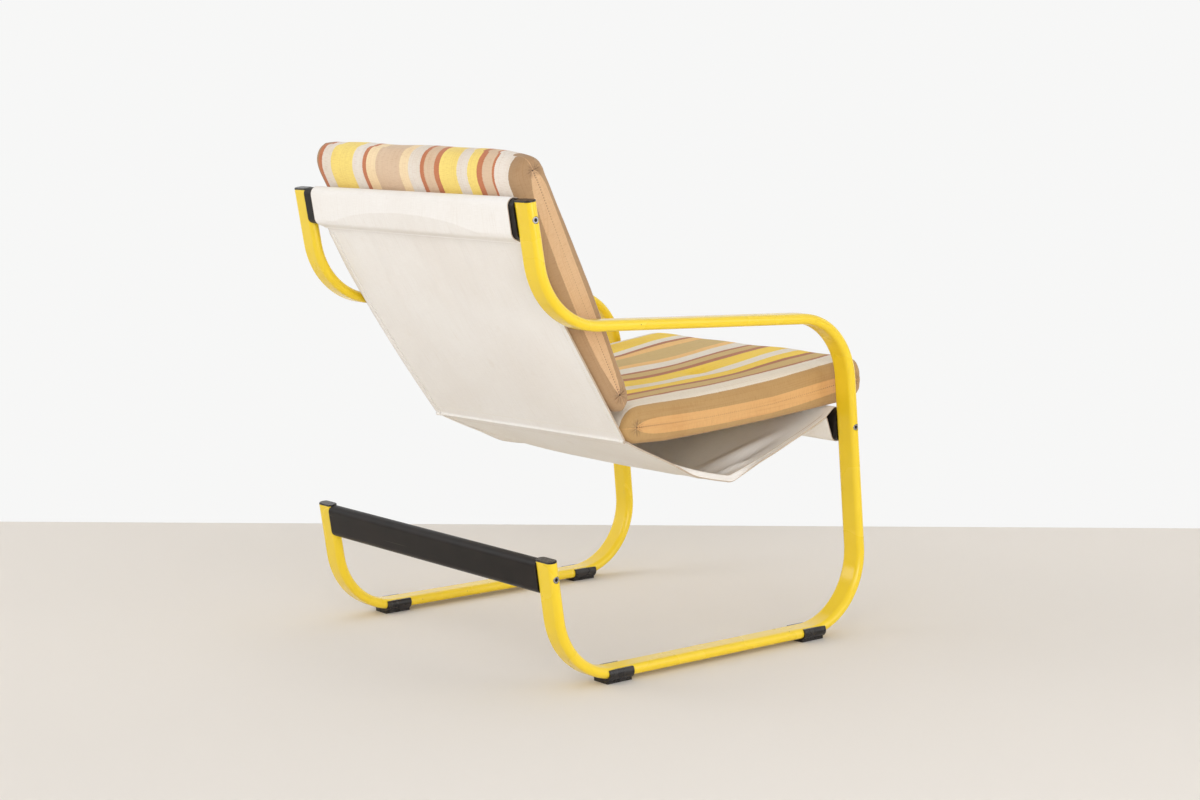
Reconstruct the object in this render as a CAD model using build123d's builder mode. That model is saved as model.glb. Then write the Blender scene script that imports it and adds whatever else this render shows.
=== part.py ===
"""Cantilever lounge chair: two bent flat-oval tube frames, three crossbars,
a canvas sling hung between two of them, and two loose striped cushions.
Millimetres. X across the chair (+X is the sitter's left), -Y forward, +Z up.
Origin on the floor under the middle of the overall size."""
import os
from math import atan2, cos, degrees, radians, sin, sqrt, tan

from build123d import *

# Side frames: one flat-oval tube each, bent four times in its own upright plane
frame_spacing = 560.0      # between the middles of the two tubes
tube_width = 38.0          # flat-oval, its long side across the chair
tube_depth = 16.0
tube_wall = 1.5
bend_radius = 110.0        # on the middle line
runner_rear_y = 285.8      # corners of the middle line before bending
runner_front_y = -320.1
arm_front_z = 500.2
back_corner_y = 320.5
leg_lean = 6.013           # degrees from upright, foot forward
arm_rise = 1.856           # degrees, rising to the back
back_lean = 10.6
post_lean = 9.3
back_top_z = 692.0         # tube ends, under the caps
post_top_z = 190.6

# Feet and end caps, black plastic
foot_pad = 6.0
foot_wall = 2.4
foot_rise = 21.0           # top of the clip's side walls
foot_length = 46.0
rear_foot_shift = 0.8      # middles of the clips, forward of the bends' starts
front_foot_shift = 4.6
cap_flange = 2.6
cap_dome = 0.8
cap_plug_depth = 14.0
plastic_fit = 0.15

# Crossbars: flat-oval steel tube saddled onto the side tubes
bar_depth = 20.0
bar_wall = 1.5
top_bar_height = 57.0
seat_bar_height = 52.0
rear_bar_height = 51.0
top_bar_proud = 1.0        # above the cap on the tube's end
rear_bar_shy = 1.5         # below the cap on the post's end
seat_bar_z = 328.0
saddle_depth = 4.0         # how far the bar ends reach round the side tubes
bar_plug_depth = 42.0
bar_plug_fit = 0.2

# Fixing screws, M6 with a low cylinder head in a pressed seat
screw_diameter = 6.0
screw_head_diameter = 10.0
screw_head_height = 2.6
screw_chamfer = 0.5
screw_recess = 1.4         # head below the tube's side
socket_size = 4.0
socket_depth = 1.8
screw_grip = 26.0          # thread length inside the bar plug
hole_fit = 0.2
seat_fit = 0.3
seat_wall = 1.3

# Canvas sling
sling_side_gap = 12.5          # to the side tubes
canvas = 1.2
pocket_fit = 0.3
seam_slit = 0.3                # left open inside the pocket's seam
top_seam_drop = 7.7            # below the top bar's lower edge
top_seam_inset = 2.2           # behind the top bar's front face
front_seam_drop = 10.1         # below the seat bar's upper edge
front_seam_reach = 15.0        # behind the seat bar's rear face
crease_y = 132.9               # sewn crease between back and seat panel
crease_z = 333.3
crease_skew_y = 11.4           # the sling hangs a little lower at the sitter's left
crease_skew_z = 7.4
back_belly = 6.0
trough_y = -71.5               # lowest fold of the sling
trough_edge_z = 264.0
trough_middle_z = 250.0
trough_sag = 9.0               # rear part below its straight line
trough_rise_sag = 5.0
trough_fold = 14.0             # half length of the rounded fold
trough_power = 4               # how suddenly the fold rises to its edges
seam_gap = 0.2
panel_stations = (-1, -0.6, 0, 0.6, 1)   # shares of the half width

# Cushions
cushion_side_gap = 10.0        # to the side tubes
cushion_corner = 42.0
cushion_nose = 36.0
cushion_draw_in = 4.0
cushion_shoulder = 24.0        # from the side seams in to the shoulders
cushion_boxy = 0.76            # how square the sides are, 0.71 for a quarter of a circle
nose_turns = (10, 45, 90)       # degrees round a rounded end, a slice at each
middle_shares = (0.3, 0.5, 0.7)     # of the length, a slice at each
cover = 1.2
cover_fit = 0.3
seat_reach = 11.7              # rear end behind the crease
seat_turn = 1.4                # the rear end lies along the slanting crease, degrees
seat_overhang = 76.7           # front end past the middle of the seat bar
seat_rise = 24.3               # side seam above the crease at the rear
seat_sag = 6.9
seat_crown = 40.0
seat_edge = 36.0               # upper shoulders above the side seam
seat_under = 29.0
seat_flat = 0.93               # lower shoulders as a share of the lower crown
seat_rest = 0.6                # above the front pocket
back_up = 54.6                 # lower end of the side seam, up the back panel
back_off = 19.7                # and out from it
back_turn = 6.7                # degrees steeper than the back panel
back_length = 421.0
back_bow = 5.0
back_crown = 37.0
back_edge = 30.0
back_under = 34.0
back_flat = 0.8
back_under_low = 26.9          # thinner at the back where it leans into the sling

half_span = frame_spacing / 2
runner_z = foot_pad + tube_depth / 2
tube_end_radius = tube_depth / 2
inner_side = half_span - tube_width / 2
outer_side = half_span + tube_width / 2
sling_width = 2 * (inner_side - sling_side_gap)
cushion_width = 2 * (inner_side - cushion_side_gap)


def leg_y(z):
    """Middle line of the front leg."""
    return runner_front_y + (z - runner_z) * tan(radians(leg_lean))


def back_y(z):
    """Middle line of the back upright."""
    return back_corner_y + (z - arm_corner_z) * tan(radians(back_lean))


def post_y(z):
    """Middle line of the short rear post."""
    return runner_rear_y + (z - runner_z) * tan(radians(post_lean))


def bend_run(turn):
    """From a corner of the middle line to where its bend starts."""
    return bend_radius * tan(radians(turn / 2))


def along(plane):
    """Axis through a plane's origin, square to it."""
    return Axis(plane.origin, plane.z_dir)


def side_plane(x):
    """Upright fore-and-aft plane: local X along +Y, local Y along +Z."""
    return Plane.YZ.offset(x)


arm_corner_z = arm_front_z + (back_corner_y - leg_y(arm_front_z)) * tan(radians(arm_rise))
rear_foot_y = runner_rear_y - bend_run(90 - post_lean) - rear_foot_shift
front_foot_y = runner_front_y + bend_run(90 + leg_lean) - front_foot_shift
top_bar_drop = top_bar_height / 2 - cap_flange - top_bar_proud
rear_bar_drop = rear_bar_height / 2 - cap_flange + rear_bar_shy
top_bar_z = back_top_z - top_bar_drop * cos(radians(back_lean))
rear_bar_z = post_top_z - rear_bar_drop * cos(radians(post_lean))
bars = {
    "top": (back_y(top_bar_z), top_bar_z, back_lean, top_bar_height),
    "seat": (leg_y(seat_bar_z), seat_bar_z, leg_lean, seat_bar_height),
    "rear": (post_y(rear_bar_z), rear_bar_z, post_lean, rear_bar_height),
}
sides = {"right": -1, "left": 1}


def beside(bar, up, back):
    """Point y, z at a distance up and behind a bar's middle, in its leaning frame."""
    y, z, lean, height = bar
    lean_y = sin(radians(lean))
    lean_z = cos(radians(lean))
    return y + up * lean_y + back * lean_z, z + up * lean_z - back * lean_y


top_seam = beside(
    bars["top"],
    -top_bar_height / 2 - top_seam_drop,
    top_seam_inset - bar_depth / 2,
)
front_seam = beside(
    bars["seat"],
    seat_bar_height / 2 - front_seam_drop,
    bar_depth / 2 + front_seam_reach,
)
front_pocket_top = (
    seat_bar_z
    + (seat_bar_height - bar_depth) / 2 * cos(radians(leg_lean))
    + bar_depth / 2 + pocket_fit + canvas
)
seat_rear_y = crease_y + seat_reach
seat_rear_z = crease_z + seat_rise
seat_length = seat_rear_y - bars["seat"][0] + seat_overhang
bar_share = (seat_rear_y - bars["seat"][0]) / seat_length
seat_front_z = seat_rear_z + 4 * seat_sag * (1 - bar_share) + (
    front_pocket_top + seat_rest + seat_under - seat_rear_z
) / bar_share
panel_tilt = degrees(atan2(top_seam[0] - crease_y, top_seam[1] - crease_z))
back_tilt = panel_tilt - back_turn
back_foot = (
    crease_y + back_up * sin(radians(panel_tilt)) - back_off * cos(radians(panel_tilt)),
    crease_z + back_up * cos(radians(panel_tilt)) + back_off * sin(radians(panel_tilt)),
)


def save(part, name):
    part.label = name
    export_step(part, f"parts/{name}.step")


def screw_cup(seat, radius, depth, tube):
    """Pressed cup behind a screw head, trimmed to the tube."""
    with BuildPart() as cup:
        with BuildSketch(seat):
            Circle(radius)
        extrude(amount=depth)
        add(tube, mode=Mode.INTERSECT)
    return cup.part


def tube_route(side):
    """Middle line of a side frame, from the back's top to the rear post's top."""
    with BuildLine(side_plane(side * half_span)) as route:
        FilletPolyline(
            (back_y(back_top_z), back_top_z),
            (back_corner_y, arm_corner_z),
            (leg_y(arm_front_z), arm_front_z),
            (runner_front_y, runner_z),
            (runner_rear_y, runner_z),
            (post_y(post_top_z), post_top_z),
            radius=bend_radius,
        )
    return route.edges()


def oval_run(side, grow):
    """Solid flat-oval bar along the side frame's middle line, larger by grow all round."""
    with BuildPart() as run:
        for edge in tube_route(side):
            start = edge @ 0
            ahead = edge % 0
            with BuildSketch(Plane(origin=start, x_dir=(1, 0, 0), z_dir=ahead)):
                SlotOverall(tube_width + 2 * grow, tube_depth + 2 * grow)
            if edge.geom_type == GeomType.LINE:
                extrude(amount=edge.length)
            else:
                turn_axis = Axis(edge.arc_center, (start - edge.arc_center).cross(ahead))
                revolve(axis=turn_axis, revolution_arc=degrees(edge.length / bend_radius))
    return run.part


def side_frame(side):
    """Bent tube with a pressed screw seat and a shank hole at each crossbar."""
    outer = oval_run(side, 0)
    with BuildPart() as frame:
        add(outer)
        add(oval_run(side, -tube_wall), mode=Mode.SUBTRACT)
        face_in = screw_recess + screw_head_height
        seat_radius = screw_head_diameter / 2 + seat_fit
        for y, z, lean, _ in bars.values():
            seat = Plane(
                origin=(side * outer_side, y, z),
                x_dir=(0, sin(radians(lean)), cos(radians(lean))),
                z_dir=(-side, 0, 0),
            )
            add(screw_cup(seat, seat_radius + seat_wall, face_in + seat_wall, outer))
            with BuildSketch(seat):
                Circle(seat_radius)
            extrude(amount=face_in, mode=Mode.SUBTRACT)
            with BuildSketch(seat):
                Circle(screw_diameter / 2 + hole_fit)
            extrude(amount=tube_width + 1, mode=Mode.SUBTRACT)
    return frame.part


def end_cap(side, y, z, lean):
    """Domed oval flange on the tube's end with a plug inside it."""
    top = Plane(
        origin=(side * half_span, y, z),
        x_dir=(1, 0, 0),
        z_dir=(0, sin(radians(lean)), cos(radians(lean))),
    )
    with BuildPart() as cap:
        with BuildSketch(top):
            SlotOverall(tube_width, tube_depth)
        extrude(amount=cap_flange)
        chamfer(cap.faces().sort_by(along(top))[-1].edges(), cap_dome)
        with BuildSketch(top):
            SlotOverall(
                tube_width - 2 * tube_wall - 2 * plastic_fit,
                tube_depth - 2 * tube_wall - 2 * plastic_fit,
            )
        extrude(amount=-cap_plug_depth)
    return cap.part


def foot_clip(side, y, tube):
    """C-shaped clip snapped round the runner, with a flat pad on the floor."""
    x = side * half_span
    with BuildPart() as clip:
        with BuildSketch(Plane.XZ.offset(-y - foot_length / 2)):
            with Locations((x, runner_z)):
                SlotOverall(tube_width + 2 * foot_wall, tube_depth + 2 * foot_wall)
            with Locations((x, runner_z / 2)):
                Rectangle(tube_width - tube_depth / 2, runner_z)
            with Locations((x, foot_rise / 2)):
                Rectangle(2 * tube_width, foot_rise, mode=Mode.INTERSECT)
        extrude(amount=foot_length)
        add(tube, mode=Mode.SUBTRACT)
    return clip.part


def saddle(x, y, z, lean, radius, length):
    """Round side of a side tube, as a cutter for a bar end."""
    axis = Plane(
        origin=(x, y, z),
        x_dir=(1, 0, 0),
        z_dir=(0, sin(radians(lean)), cos(radians(lean))),
    )
    with BuildPart() as cutter:
        with BuildSketch(axis.offset(-length / 2)):
            Circle(radius)
        extrude(amount=length)
    return cutter.part


def crossbar(y, z, lean, height):
    """Hollow flat-oval bar, its ends coped to sit on the side tubes."""
    reach = inner_side + saddle_depth
    with BuildPart() as bar:
        section = Plane(
            origin=(-reach, y, z),
            x_dir=(0, sin(radians(lean)), cos(radians(lean))),
            z_dir=(1, 0, 0),
        )
        with BuildSketch(section):
            SlotOverall(height, bar_depth)
            SlotOverall(height - 2 * bar_wall, bar_depth - 2 * bar_wall, mode=Mode.SUBTRACT)
        extrude(amount=2 * reach)
        for side in sides.values():
            cope_x = side * (inner_side + tube_end_radius)
            add(
                saddle(cope_x, y, z, lean, tube_end_radius, 2 * height),
                mode=Mode.SUBTRACT,
            )
    return bar.part


def bar_plug(side, y, z, lean, height):
    """Plug in the bar's end that takes the screw thread."""
    section = Plane(
        origin=(side * (inner_side - bar_plug_depth), y, z),
        x_dir=(0, sin(radians(lean)), cos(radians(lean))),
        z_dir=(side, 0, 0),
    )
    with BuildPart() as plug:
        with BuildSketch(section):
            SlotOverall(
                height - 2 * bar_wall - 2 * bar_plug_fit,
                bar_depth - 2 * bar_wall - 2 * bar_plug_fit,
            )
            Circle(screw_diameter / 2 + hole_fit, mode=Mode.SUBTRACT)
        extrude(amount=bar_plug_depth)
    return plug.part


def screw(side, y, z, lean):
    """Hex socket screw through the side tube into the bar plug."""
    seat_x = outer_side - screw_recess - screw_head_height
    under_head = Plane(
        origin=(side * seat_x, y, z),
        x_dir=(0, sin(radians(lean)), cos(radians(lean))),
        z_dir=(side, 0, 0),
    )
    with BuildPart() as bolt:
        with BuildSketch(under_head):
            Circle(screw_head_diameter / 2)
        extrude(amount=screw_head_height)
        chamfer(bolt.edges().sort_by(along(under_head))[-1], screw_chamfer)
        with BuildSketch(under_head):
            Circle(screw_diameter / 2)
        extrude(amount=-(seat_x - inner_side + screw_grip))
        with BuildSketch(under_head.offset(screw_head_height)):
            RegularPolygon(socket_size / 2, 6, major_radius=False)
        extrude(amount=-socket_depth, mode=Mode.SUBTRACT)
    return bolt.part


def pocket(y, z, lean, height, seam):
    """Canvas loop round a bar, drawn to the line where the panel is sewn on."""
    plane = side_plane(-sling_width / 2)
    slope = 90 - lean
    with BuildPart() as loop:
        with BuildSketch(plane):
            with Locations(Location((y, z), slope)):
                SlotOverall(height + 2 * (pocket_fit + canvas), bar_depth + 2 * (pocket_fit + canvas))
            with Locations(seam):
                Circle(canvas)
            make_hull()
        extrude(amount=sling_width)
        with BuildSketch(plane):
            with Locations(Location((y, z), slope)):
                SlotOverall(height + 2 * pocket_fit, bar_depth + 2 * pocket_fit)
            with Locations(seam):
                Circle(seam_slit / 2)
            make_hull()
        extrude(amount=sling_width, mode=Mode.SUBTRACT)
    return loop.part


def skewed(x, middle, skew):
    """Value at x of something that runs straight across the sling at a slant."""
    return middle - skew * x / (sling_width / 2)


def back_panel_line(x):
    """Start, middle and end of the back panel at x, as (y, z)."""
    foot = Vector(skewed(x, crease_y, crease_skew_y), skewed(x, crease_z, crease_skew_z))
    head = Vector(*top_seam)
    run = (head - foot).normalized()
    head -= run * (canvas + seam_gap)
    foot += run * seam_gap
    outward = Vector(run.Y, -run.X) * back_belly
    return head, (head + foot) / 2 + outward, foot


def seat_panel_line(x):
    """Points along the seat panel at x: crease, sag, fold, rise and front seam."""
    crease = Vector(skewed(x, crease_y, crease_skew_y), skewed(x, crease_z, crease_skew_z))
    edge = (2 * abs(x) / sling_width) ** trough_power
    fold = Vector(trough_y, trough_middle_z + (trough_edge_z - trough_middle_z) * edge)
    seam = Vector(*front_seam)
    down = (crease - fold).normalized()
    rise = (seam - fold).normalized()
    fold_back = fold + down * trough_fold
    fold_front = fold + rise * trough_fold
    fold_low = (fold_back + fold_front) / 4 + fold / 2
    crease -= down * seam_gap
    seam -= rise * (canvas + seam_gap)
    sag = Vector(-down.Y, down.X) * -trough_sag
    lift = Vector(rise.Y, -rise.X) * -trough_rise_sag
    return (
        crease, (crease + fold_back) / 2 + sag, fold_back, fold_low,
        fold_front, (fold_front + seam) / 2 + lift, seam,
    )


def panel(line_at):
    """Canvas strip lofted across the chair through its line at five places."""
    with BuildPart() as cloth:
        for share in panel_stations:
            x = share * sling_width / 2
            points = [tuple(point)[:2] for point in line_at(x)]
            with BuildSketch(side_plane(x)):
                with BuildLine():
                    for first in range(0, len(points) - 2, 2):
                        ThreePointArc(*points[first:first + 3])
                    offset(amount=canvas, side=Side.LEFT)
                make_face()
        loft()
    return cloth.part


def nose(distance, radius):
    """Share of the full size left at a distance from a rounded end."""
    if distance >= radius:
        return 1.0
    return sqrt(1 - (1 - distance / radius) ** 2)


def cushion_section(plane, width, shoulder, edge, low_edge, top, bottom):
    """Crowned slice of a cushion: two shallow arcs joined by two boxy sides."""
    bulge = shoulder + cushion_boxy * (width - shoulder)
    rise = cushion_boxy * edge
    fall = cushion_boxy * low_edge
    with BuildSketch(plane) as section:
        with BuildLine():
            ThreePointArc((shoulder, edge), (0, top), (-shoulder, edge))
            ThreePointArc((-shoulder, edge), (-bulge, rise), (-width, 0))
            ThreePointArc((-width, 0), (-bulge, -fall), (-shoulder, -low_edge))
            ThreePointArc((-shoulder, -low_edge), (0, -bottom), (shoulder, -low_edge))
            ThreePointArc((shoulder, -low_edge), (bulge, -fall), (width, 0))
            ThreePointArc((width, 0), (bulge, rise), (shoulder, edge))
        make_face()
    return section.sketch.face()


def cushion(plane_at, length, crown, edge, under, under_low, flat, inset):
    """Crowned cushion with two rounded ends; inset moves every skin inwards."""
    rear = [cushion_nose * (1 - cos(radians(turn))) for turn in nose_turns]
    front = [length - place for place in reversed(rear)]
    middle = [rear[-1]] + [length * share for share in middle_shares] + [front[0]]
    with BuildPart() as body:
        for run in (rear, middle, front):
            slices = []
            for place in run:
                near_end = min(place, length - place)
                thick = nose(near_end, cushion_nose)
                corner = cushion_corner * (1 - nose(near_end, cushion_corner))
                waist = cushion_draw_in * sin(radians(180 * place / length))
                width = cushion_width / 2 - corner - waist
                filled = sin(radians(90 * min(2 * place / length, 1)))
                bottom = (under_low + (under - under_low) * filled) * thick
                slices.append(cushion_section(
                    plane_at(inset + place * (length - 2 * inset) / length),
                    width - inset,
                    width - cushion_shoulder * thick,
                    edge * thick - inset,
                    flat * bottom - inset,
                    crown * thick - inset,
                    bottom - inset,
                ))
            loft(sections=slices)
    return body.part


def seat_plane(place):
    """Plane across the seat cushion at a distance from its rear end."""
    share = place / seat_length
    z = seat_rear_z + (seat_front_z - seat_rear_z) * share - 4 * seat_sag * share * (1 - share)
    turn = radians(seat_turn * (1 - share))
    across = (cos(turn), -sin(turn), 0)
    return Plane(origin=(0, seat_rear_y - place, z), x_dir=across, z_dir=(-sin(turn), -cos(turn), 0))


def back_plane(place):
    """Plane across the back cushion at a distance from its lower end."""
    share = place / back_length
    lean_y = sin(radians(back_tilt))
    lean_z = cos(radians(back_tilt))
    bow = 4 * back_bow * share * (1 - share)
    y = back_foot[0] + place * lean_y - bow * lean_z
    z = back_foot[1] + place * lean_z + bow * lean_y
    return Plane(origin=(0, y, z), x_dir=(1, 0, 0), z_dir=(0, -lean_y, -lean_z))


def cushion_pair(*form):
    """Sewn cover as a closed skin, and the foam inside it."""
    outside = cushion(*form, 0)
    inside = cushion(*form, cover)
    foam = cushion(*form, cover + cover_fit)
    with BuildPart() as skin:
        add(outside)
        add(inside, mode=Mode.SUBTRACT)
    return skin.part, foam


os.makedirs("parts", exist_ok=True)
for side_name, side in sides.items():
    save(side_frame(side), f"{side_name}_side_frame")
    save(end_cap(side, back_y(back_top_z), back_top_z, back_lean), f"{side_name}_back_cap")
    save(end_cap(side, post_y(post_top_z), post_top_z, post_lean), f"{side_name}_post_cap")
    tube = oval_run(side, plastic_fit)
    save(foot_clip(side, rear_foot_y, tube), f"{side_name}_rear_foot")
    save(foot_clip(side, front_foot_y, tube), f"{side_name}_front_foot")
    for bar_name, (y, z, lean, height) in bars.items():
        save(bar_plug(side, y, z, lean, height), f"{side_name}_{bar_name}_bar_plug")
        save(screw(side, y, z, lean), f"{side_name}_{bar_name}_bar_screw")
for bar_name, place in bars.items():
    save(crossbar(*place), f"{bar_name}_crossbar")
save(pocket(*bars["top"], top_seam), "sling_top_pocket")
save(panel(back_panel_line), "sling_back_panel")
save(panel(seat_panel_line), "sling_seat_panel")
save(pocket(*bars["seat"], front_seam), "sling_front_pocket")
seat_cover, seat_foam = cushion_pair(
    seat_plane, seat_length, seat_crown, seat_edge, seat_under, seat_under, seat_flat
)
save(seat_cover, "seat_cushion_cover")
save(seat_foam, "seat_cushion_foam")
back_cover, back_foam = cushion_pair(
    back_plane, back_length, back_crown, back_edge, back_under, back_under_low, back_flat
)
save(back_cover, "back_cushion_cover")
save(back_foam, "back_cushion_foam")
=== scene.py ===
import math

import bmesh
import bpy
import numpy as np
from mathutils import Matrix, Vector


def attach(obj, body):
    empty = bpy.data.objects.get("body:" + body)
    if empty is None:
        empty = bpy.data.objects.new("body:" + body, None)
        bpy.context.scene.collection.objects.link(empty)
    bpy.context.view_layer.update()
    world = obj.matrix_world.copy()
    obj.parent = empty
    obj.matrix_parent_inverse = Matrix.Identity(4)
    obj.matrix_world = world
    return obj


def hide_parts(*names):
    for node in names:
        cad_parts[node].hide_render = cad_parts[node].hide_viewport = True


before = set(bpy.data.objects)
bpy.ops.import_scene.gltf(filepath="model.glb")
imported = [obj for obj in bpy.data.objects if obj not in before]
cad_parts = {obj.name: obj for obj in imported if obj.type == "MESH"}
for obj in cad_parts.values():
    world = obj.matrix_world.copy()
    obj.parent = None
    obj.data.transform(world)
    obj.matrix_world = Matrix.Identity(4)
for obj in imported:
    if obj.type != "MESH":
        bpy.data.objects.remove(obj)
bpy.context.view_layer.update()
print("frame loaded")


class Wire:  # a shader socket that takes part in arithmetic
    def __init__(self, shade, socket):
        self.shade = shade
        self.socket = socket

    def math(self, operation, first, second):
        return self.shade.node("Math", {"operation": operation}, {0: first, 1: second})

    def __add__(self, other):
        return self.math("ADD", self, other)

    __radd__ = __add__

    def __sub__(self, other):
        return self.math("SUBTRACT", self, other)

    def __rsub__(self, other):
        return self.math("SUBTRACT", other, self)

    def __mul__(self, other):
        return self.math("MULTIPLY", self, other)

    __rmul__ = __mul__

    def __truediv__(self, other):
        return self.math("DIVIDE", self, other)

    def __pow__(self, other):
        return self.math("POWER", self, other)


class Shade:  # one material with its Principled shader
    def __init__(self, name, **fixed):
        self.material = bpy.data.materials.new(name)
        self.material.use_nodes = True
        self.tree = self.material.node_tree
        self.skin = self.tree.nodes["Principled BSDF"]
        for socket, value in fixed.items():
            self.skin.inputs[socket.replace("_", " ")].default_value = value

    def node(self, kind, settings=None, values=None, output=0):
        made = self.tree.nodes.new("ShaderNode" + kind)
        for name, value in (settings or {}).items():
            if name == "stops":
                ramp = made.color_ramp
                while len(ramp.elements) < len(value):
                    ramp.elements.new(0.5)
                for stop, (place, color) in zip(ramp.elements, value):
                    stop.position = place
                    stop.color = (*color, 1)
            elif name == "interpolation" and kind == "ValToRGB":
                made.color_ramp.interpolation = value
            else:
                setattr(made, name, value)
        for name, value in (values or {}).items():
            socket = made.inputs[name]
            if isinstance(value, Wire):
                self.tree.links.new(value.socket, socket)
            elif socket.type == "RGBA" and len(value) == 3:
                socket.default_value = (*value, 1)
            else:
                socket.default_value = value
        return Wire(self, made.outputs[output])

    def place(self):
        return self.node("TexCoord", output="Object")

    def noise(self, scale, detail=3.0, where=None, stretch=(1, 1, 1)):
        spot = self.node("Mapping", values={"Vector": where or self.place(), "Scale": stretch})
        return self.node("TexNoise", values={"Vector": spot, "Scale": scale, "Detail": detail})

    def step(self, value, low, high, first=0.0, last=1.0):
        spans = {"Value": value, "From Min": low, "From Max": high, "To Min": first, "To Max": last}
        return self.node("MapRange", {"interpolation_type": "SMOOTHSTEP"}, spans)

    def mix(self, share, first, second, blend="MIX"):
        values = {0: share, 6: first, 7: second}
        return self.node("Mix", {"data_type": "RGBA", "blend_type": blend}, values, output=2)

    def feed(self, **links):
        for name, wire in links.items():
            self.tree.links.new(wire.socket, self.skin.inputs[name.replace("_", " ")])

    def bump(self, height, distance, strength=1.0, under=None):
        values = {"Height": height, "Distance": distance, "Strength": strength}
        if under:
            values["Normal"] = under
        return self.node("Bump", values=values)


# camera

view = {
    "place": (-2.5763, 2.1386, 0.8110),
    "heading": 50.102,  # degrees from straight back
    "dip": 7.629,
    "roll": 0.32,
    "lens": 64.23,
}
bpy.ops.object.select_all(action="DESELECT")
bpy.ops.object.camera_add(location=view["place"])
camera = bpy.context.object
camera.data.lens = view["lens"]
turn = (
    Matrix.Rotation(math.radians(180 + view["heading"]), 3, "Z")
    @ Matrix.Rotation(math.radians(90 - view["dip"]), 3, "X")
    @ Matrix.Rotation(math.radians(view["roll"]), 3, "Z")
)
camera.rotation_euler = turn.to_euler()
bpy.context.scene.camera = camera
bpy.context.scene.view_settings.view_transform = "Standard"
print("camera placed")

# floor, wall and light

room = {
    "size": 12.0,
    "wallFromCamera": 4.184,
    "floor": (0.81, 0.765, 0.71),
    "wall": (0.93, 0.93, 0.925),
    "sky": 0.40,
    "window": {"place": (2.6, 3.4, 2.1), "size": 2.8, "power": 64.0, "aim": (0, 0, 0.4)},
    "behindCamera": {"place": (-2.8, 3.2, 1.9), "size": 3.0, "power": 40.0, "aim": (0, 0, 0.3)},
    "fill": {"place": (-3.0, -1.6, 1.4), "size": 2.4, "power": 29.0, "aim": (0, 0, 0.3)},
    "low": {"place": (-3.1, 1.3, 0.5), "size": 1.6, "power": 36.0, "aim": (-0.1, 0.0, 0.3)},
    "ceiling": {"place": (-0.3, 0.6, 3.4), "size": 3.0, "power": 12.0, "aim": (0, 0, 0.3)},
}


def stagePlane(name, color, where, turned):
    bpy.ops.object.select_all(action="DESELECT")
    bpy.ops.mesh.primitive_plane_add(size=room["size"], location=where, rotation=turned)
    plane = bpy.context.object
    plane.name = name
    bpy.ops.object.transform_apply(location=True, rotation=True)
    shade = Shade(name, Base_Color=(*color, 1), Roughness=0.95)
    plane.data.materials.append(shade.material)
    return shade


heading = math.radians(view["heading"])
ahead = Vector((math.sin(heading), -math.cos(heading), 0))
wallFoot = Vector(view["place"]) + ahead * room["wallFromCamera"]
stagePlane("floor", room["floor"], (0, 0, 0), (0, 0, 0))
wall = stagePlane(
    "wall",
    room["wall"],
    (wallFoot.x, wallFoot.y, room["size"] / 2),
    (math.pi / 2, 0, heading + math.pi),
)
rays = wall.node("LightPath")
seen = rays  # pale to the camera and in reflections, whatever light falls on it
for kind in ("Is Glossy Ray", "Is Transmission Ray"):
    seen = seen.math("MAXIMUM", seen, Wire(wall, rays.socket.node.outputs[kind]))
glow = wall.node("Emission", values={"Color": room["wall"], "Strength": 1.0})
face = wall.node("MixShader", values={0: seen, 1: Wire(wall, wall.skin.outputs[0]), 2: glow})
clear = wall.node("BsdfTransparent")  # seen from behind, the wall lets the view through
behind = wall.node("NewGeometry", output="Backfacing")
oneSided = wall.node("MixShader", values={0: behind, 1: face, 2: clear})
wall.tree.links.new(oneSided.socket, wall.tree.nodes["Material Output"].inputs[0])


def softLight(name, place, size, power, aim):
    bpy.ops.object.light_add(type="AREA", location=place)
    lamp = bpy.context.object
    lamp.name = name
    lamp.data.size = size
    lamp.data.energy = power
    lamp.rotation_euler = (Vector(aim) - Vector(place)).to_track_quat("-Z", "Y").to_euler()


for name in ("window", "behindCamera", "fill", "low", "ceiling"):
    softLight(name, **room[name])
world = bpy.data.worlds.new("sky")
bpy.context.scene.world = world
world.use_nodes = True
world.node_tree.nodes["Background"].inputs["Color"].default_value = (1, 1, 1, 1)
world.node_tree.nodes["Background"].inputs["Strength"].default_value = room["sky"]
print("room lit")

# paint, plastic and screws


def yellowPaint():
    shade = Shade("yellowPaint", Coat_Roughness=0.08, Specular_IOR_Level=0.35)
    tone = shade.noise(7.0)
    chips = shade.noise(160.0, 2.0)
    color = shade.mix(shade.step(tone, 0.35, 0.65), (0.87, 0.61, 0.02), (0.89, 0.635, 0.026))
    worn = shade.step(chips, 0.775, 0.79)
    color = shade.mix(worn, color, (0.16, 0.11, 0.05))
    peel = shade.noise(420.0, 1.0)
    shade.feed(
        Base_Color=color,
        Roughness=shade.step(tone, 0.3, 0.7, 0.22, 0.3),
        Coat_Weight=shade.step(worn, 0.0, 1.0, 0.3, 0.0),
        Normal=shade.bump(peel - worn * 0.6, 0.0002, 0.25),
    )
    return shade.material


def blackPaint():
    shade = Shade("blackPaint", Specular_IOR_Level=0.2)
    tone = shade.noise(30.0)
    color = shade.mix(shade.step(tone, 0.3, 0.7), (0.008, 0.006, 0.005), (0.016, 0.0115, 0.01))
    scratch = shade.noise(1.0, 2.0, None, (5, 300, 260))
    color = shade.mix(shade.step(scratch, 0.68, 0.74, 0.0, 0.35), color, (0.12, 0.10, 0.09))
    shade.feed(
        Base_Color=color,
        Roughness=shade.step(tone, 0.3, 0.7, 0.34, 0.42),
        Normal=shade.bump(shade.noise(500.0, 1.0), 0.0002, 0.2),
    )
    return shade.material


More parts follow.
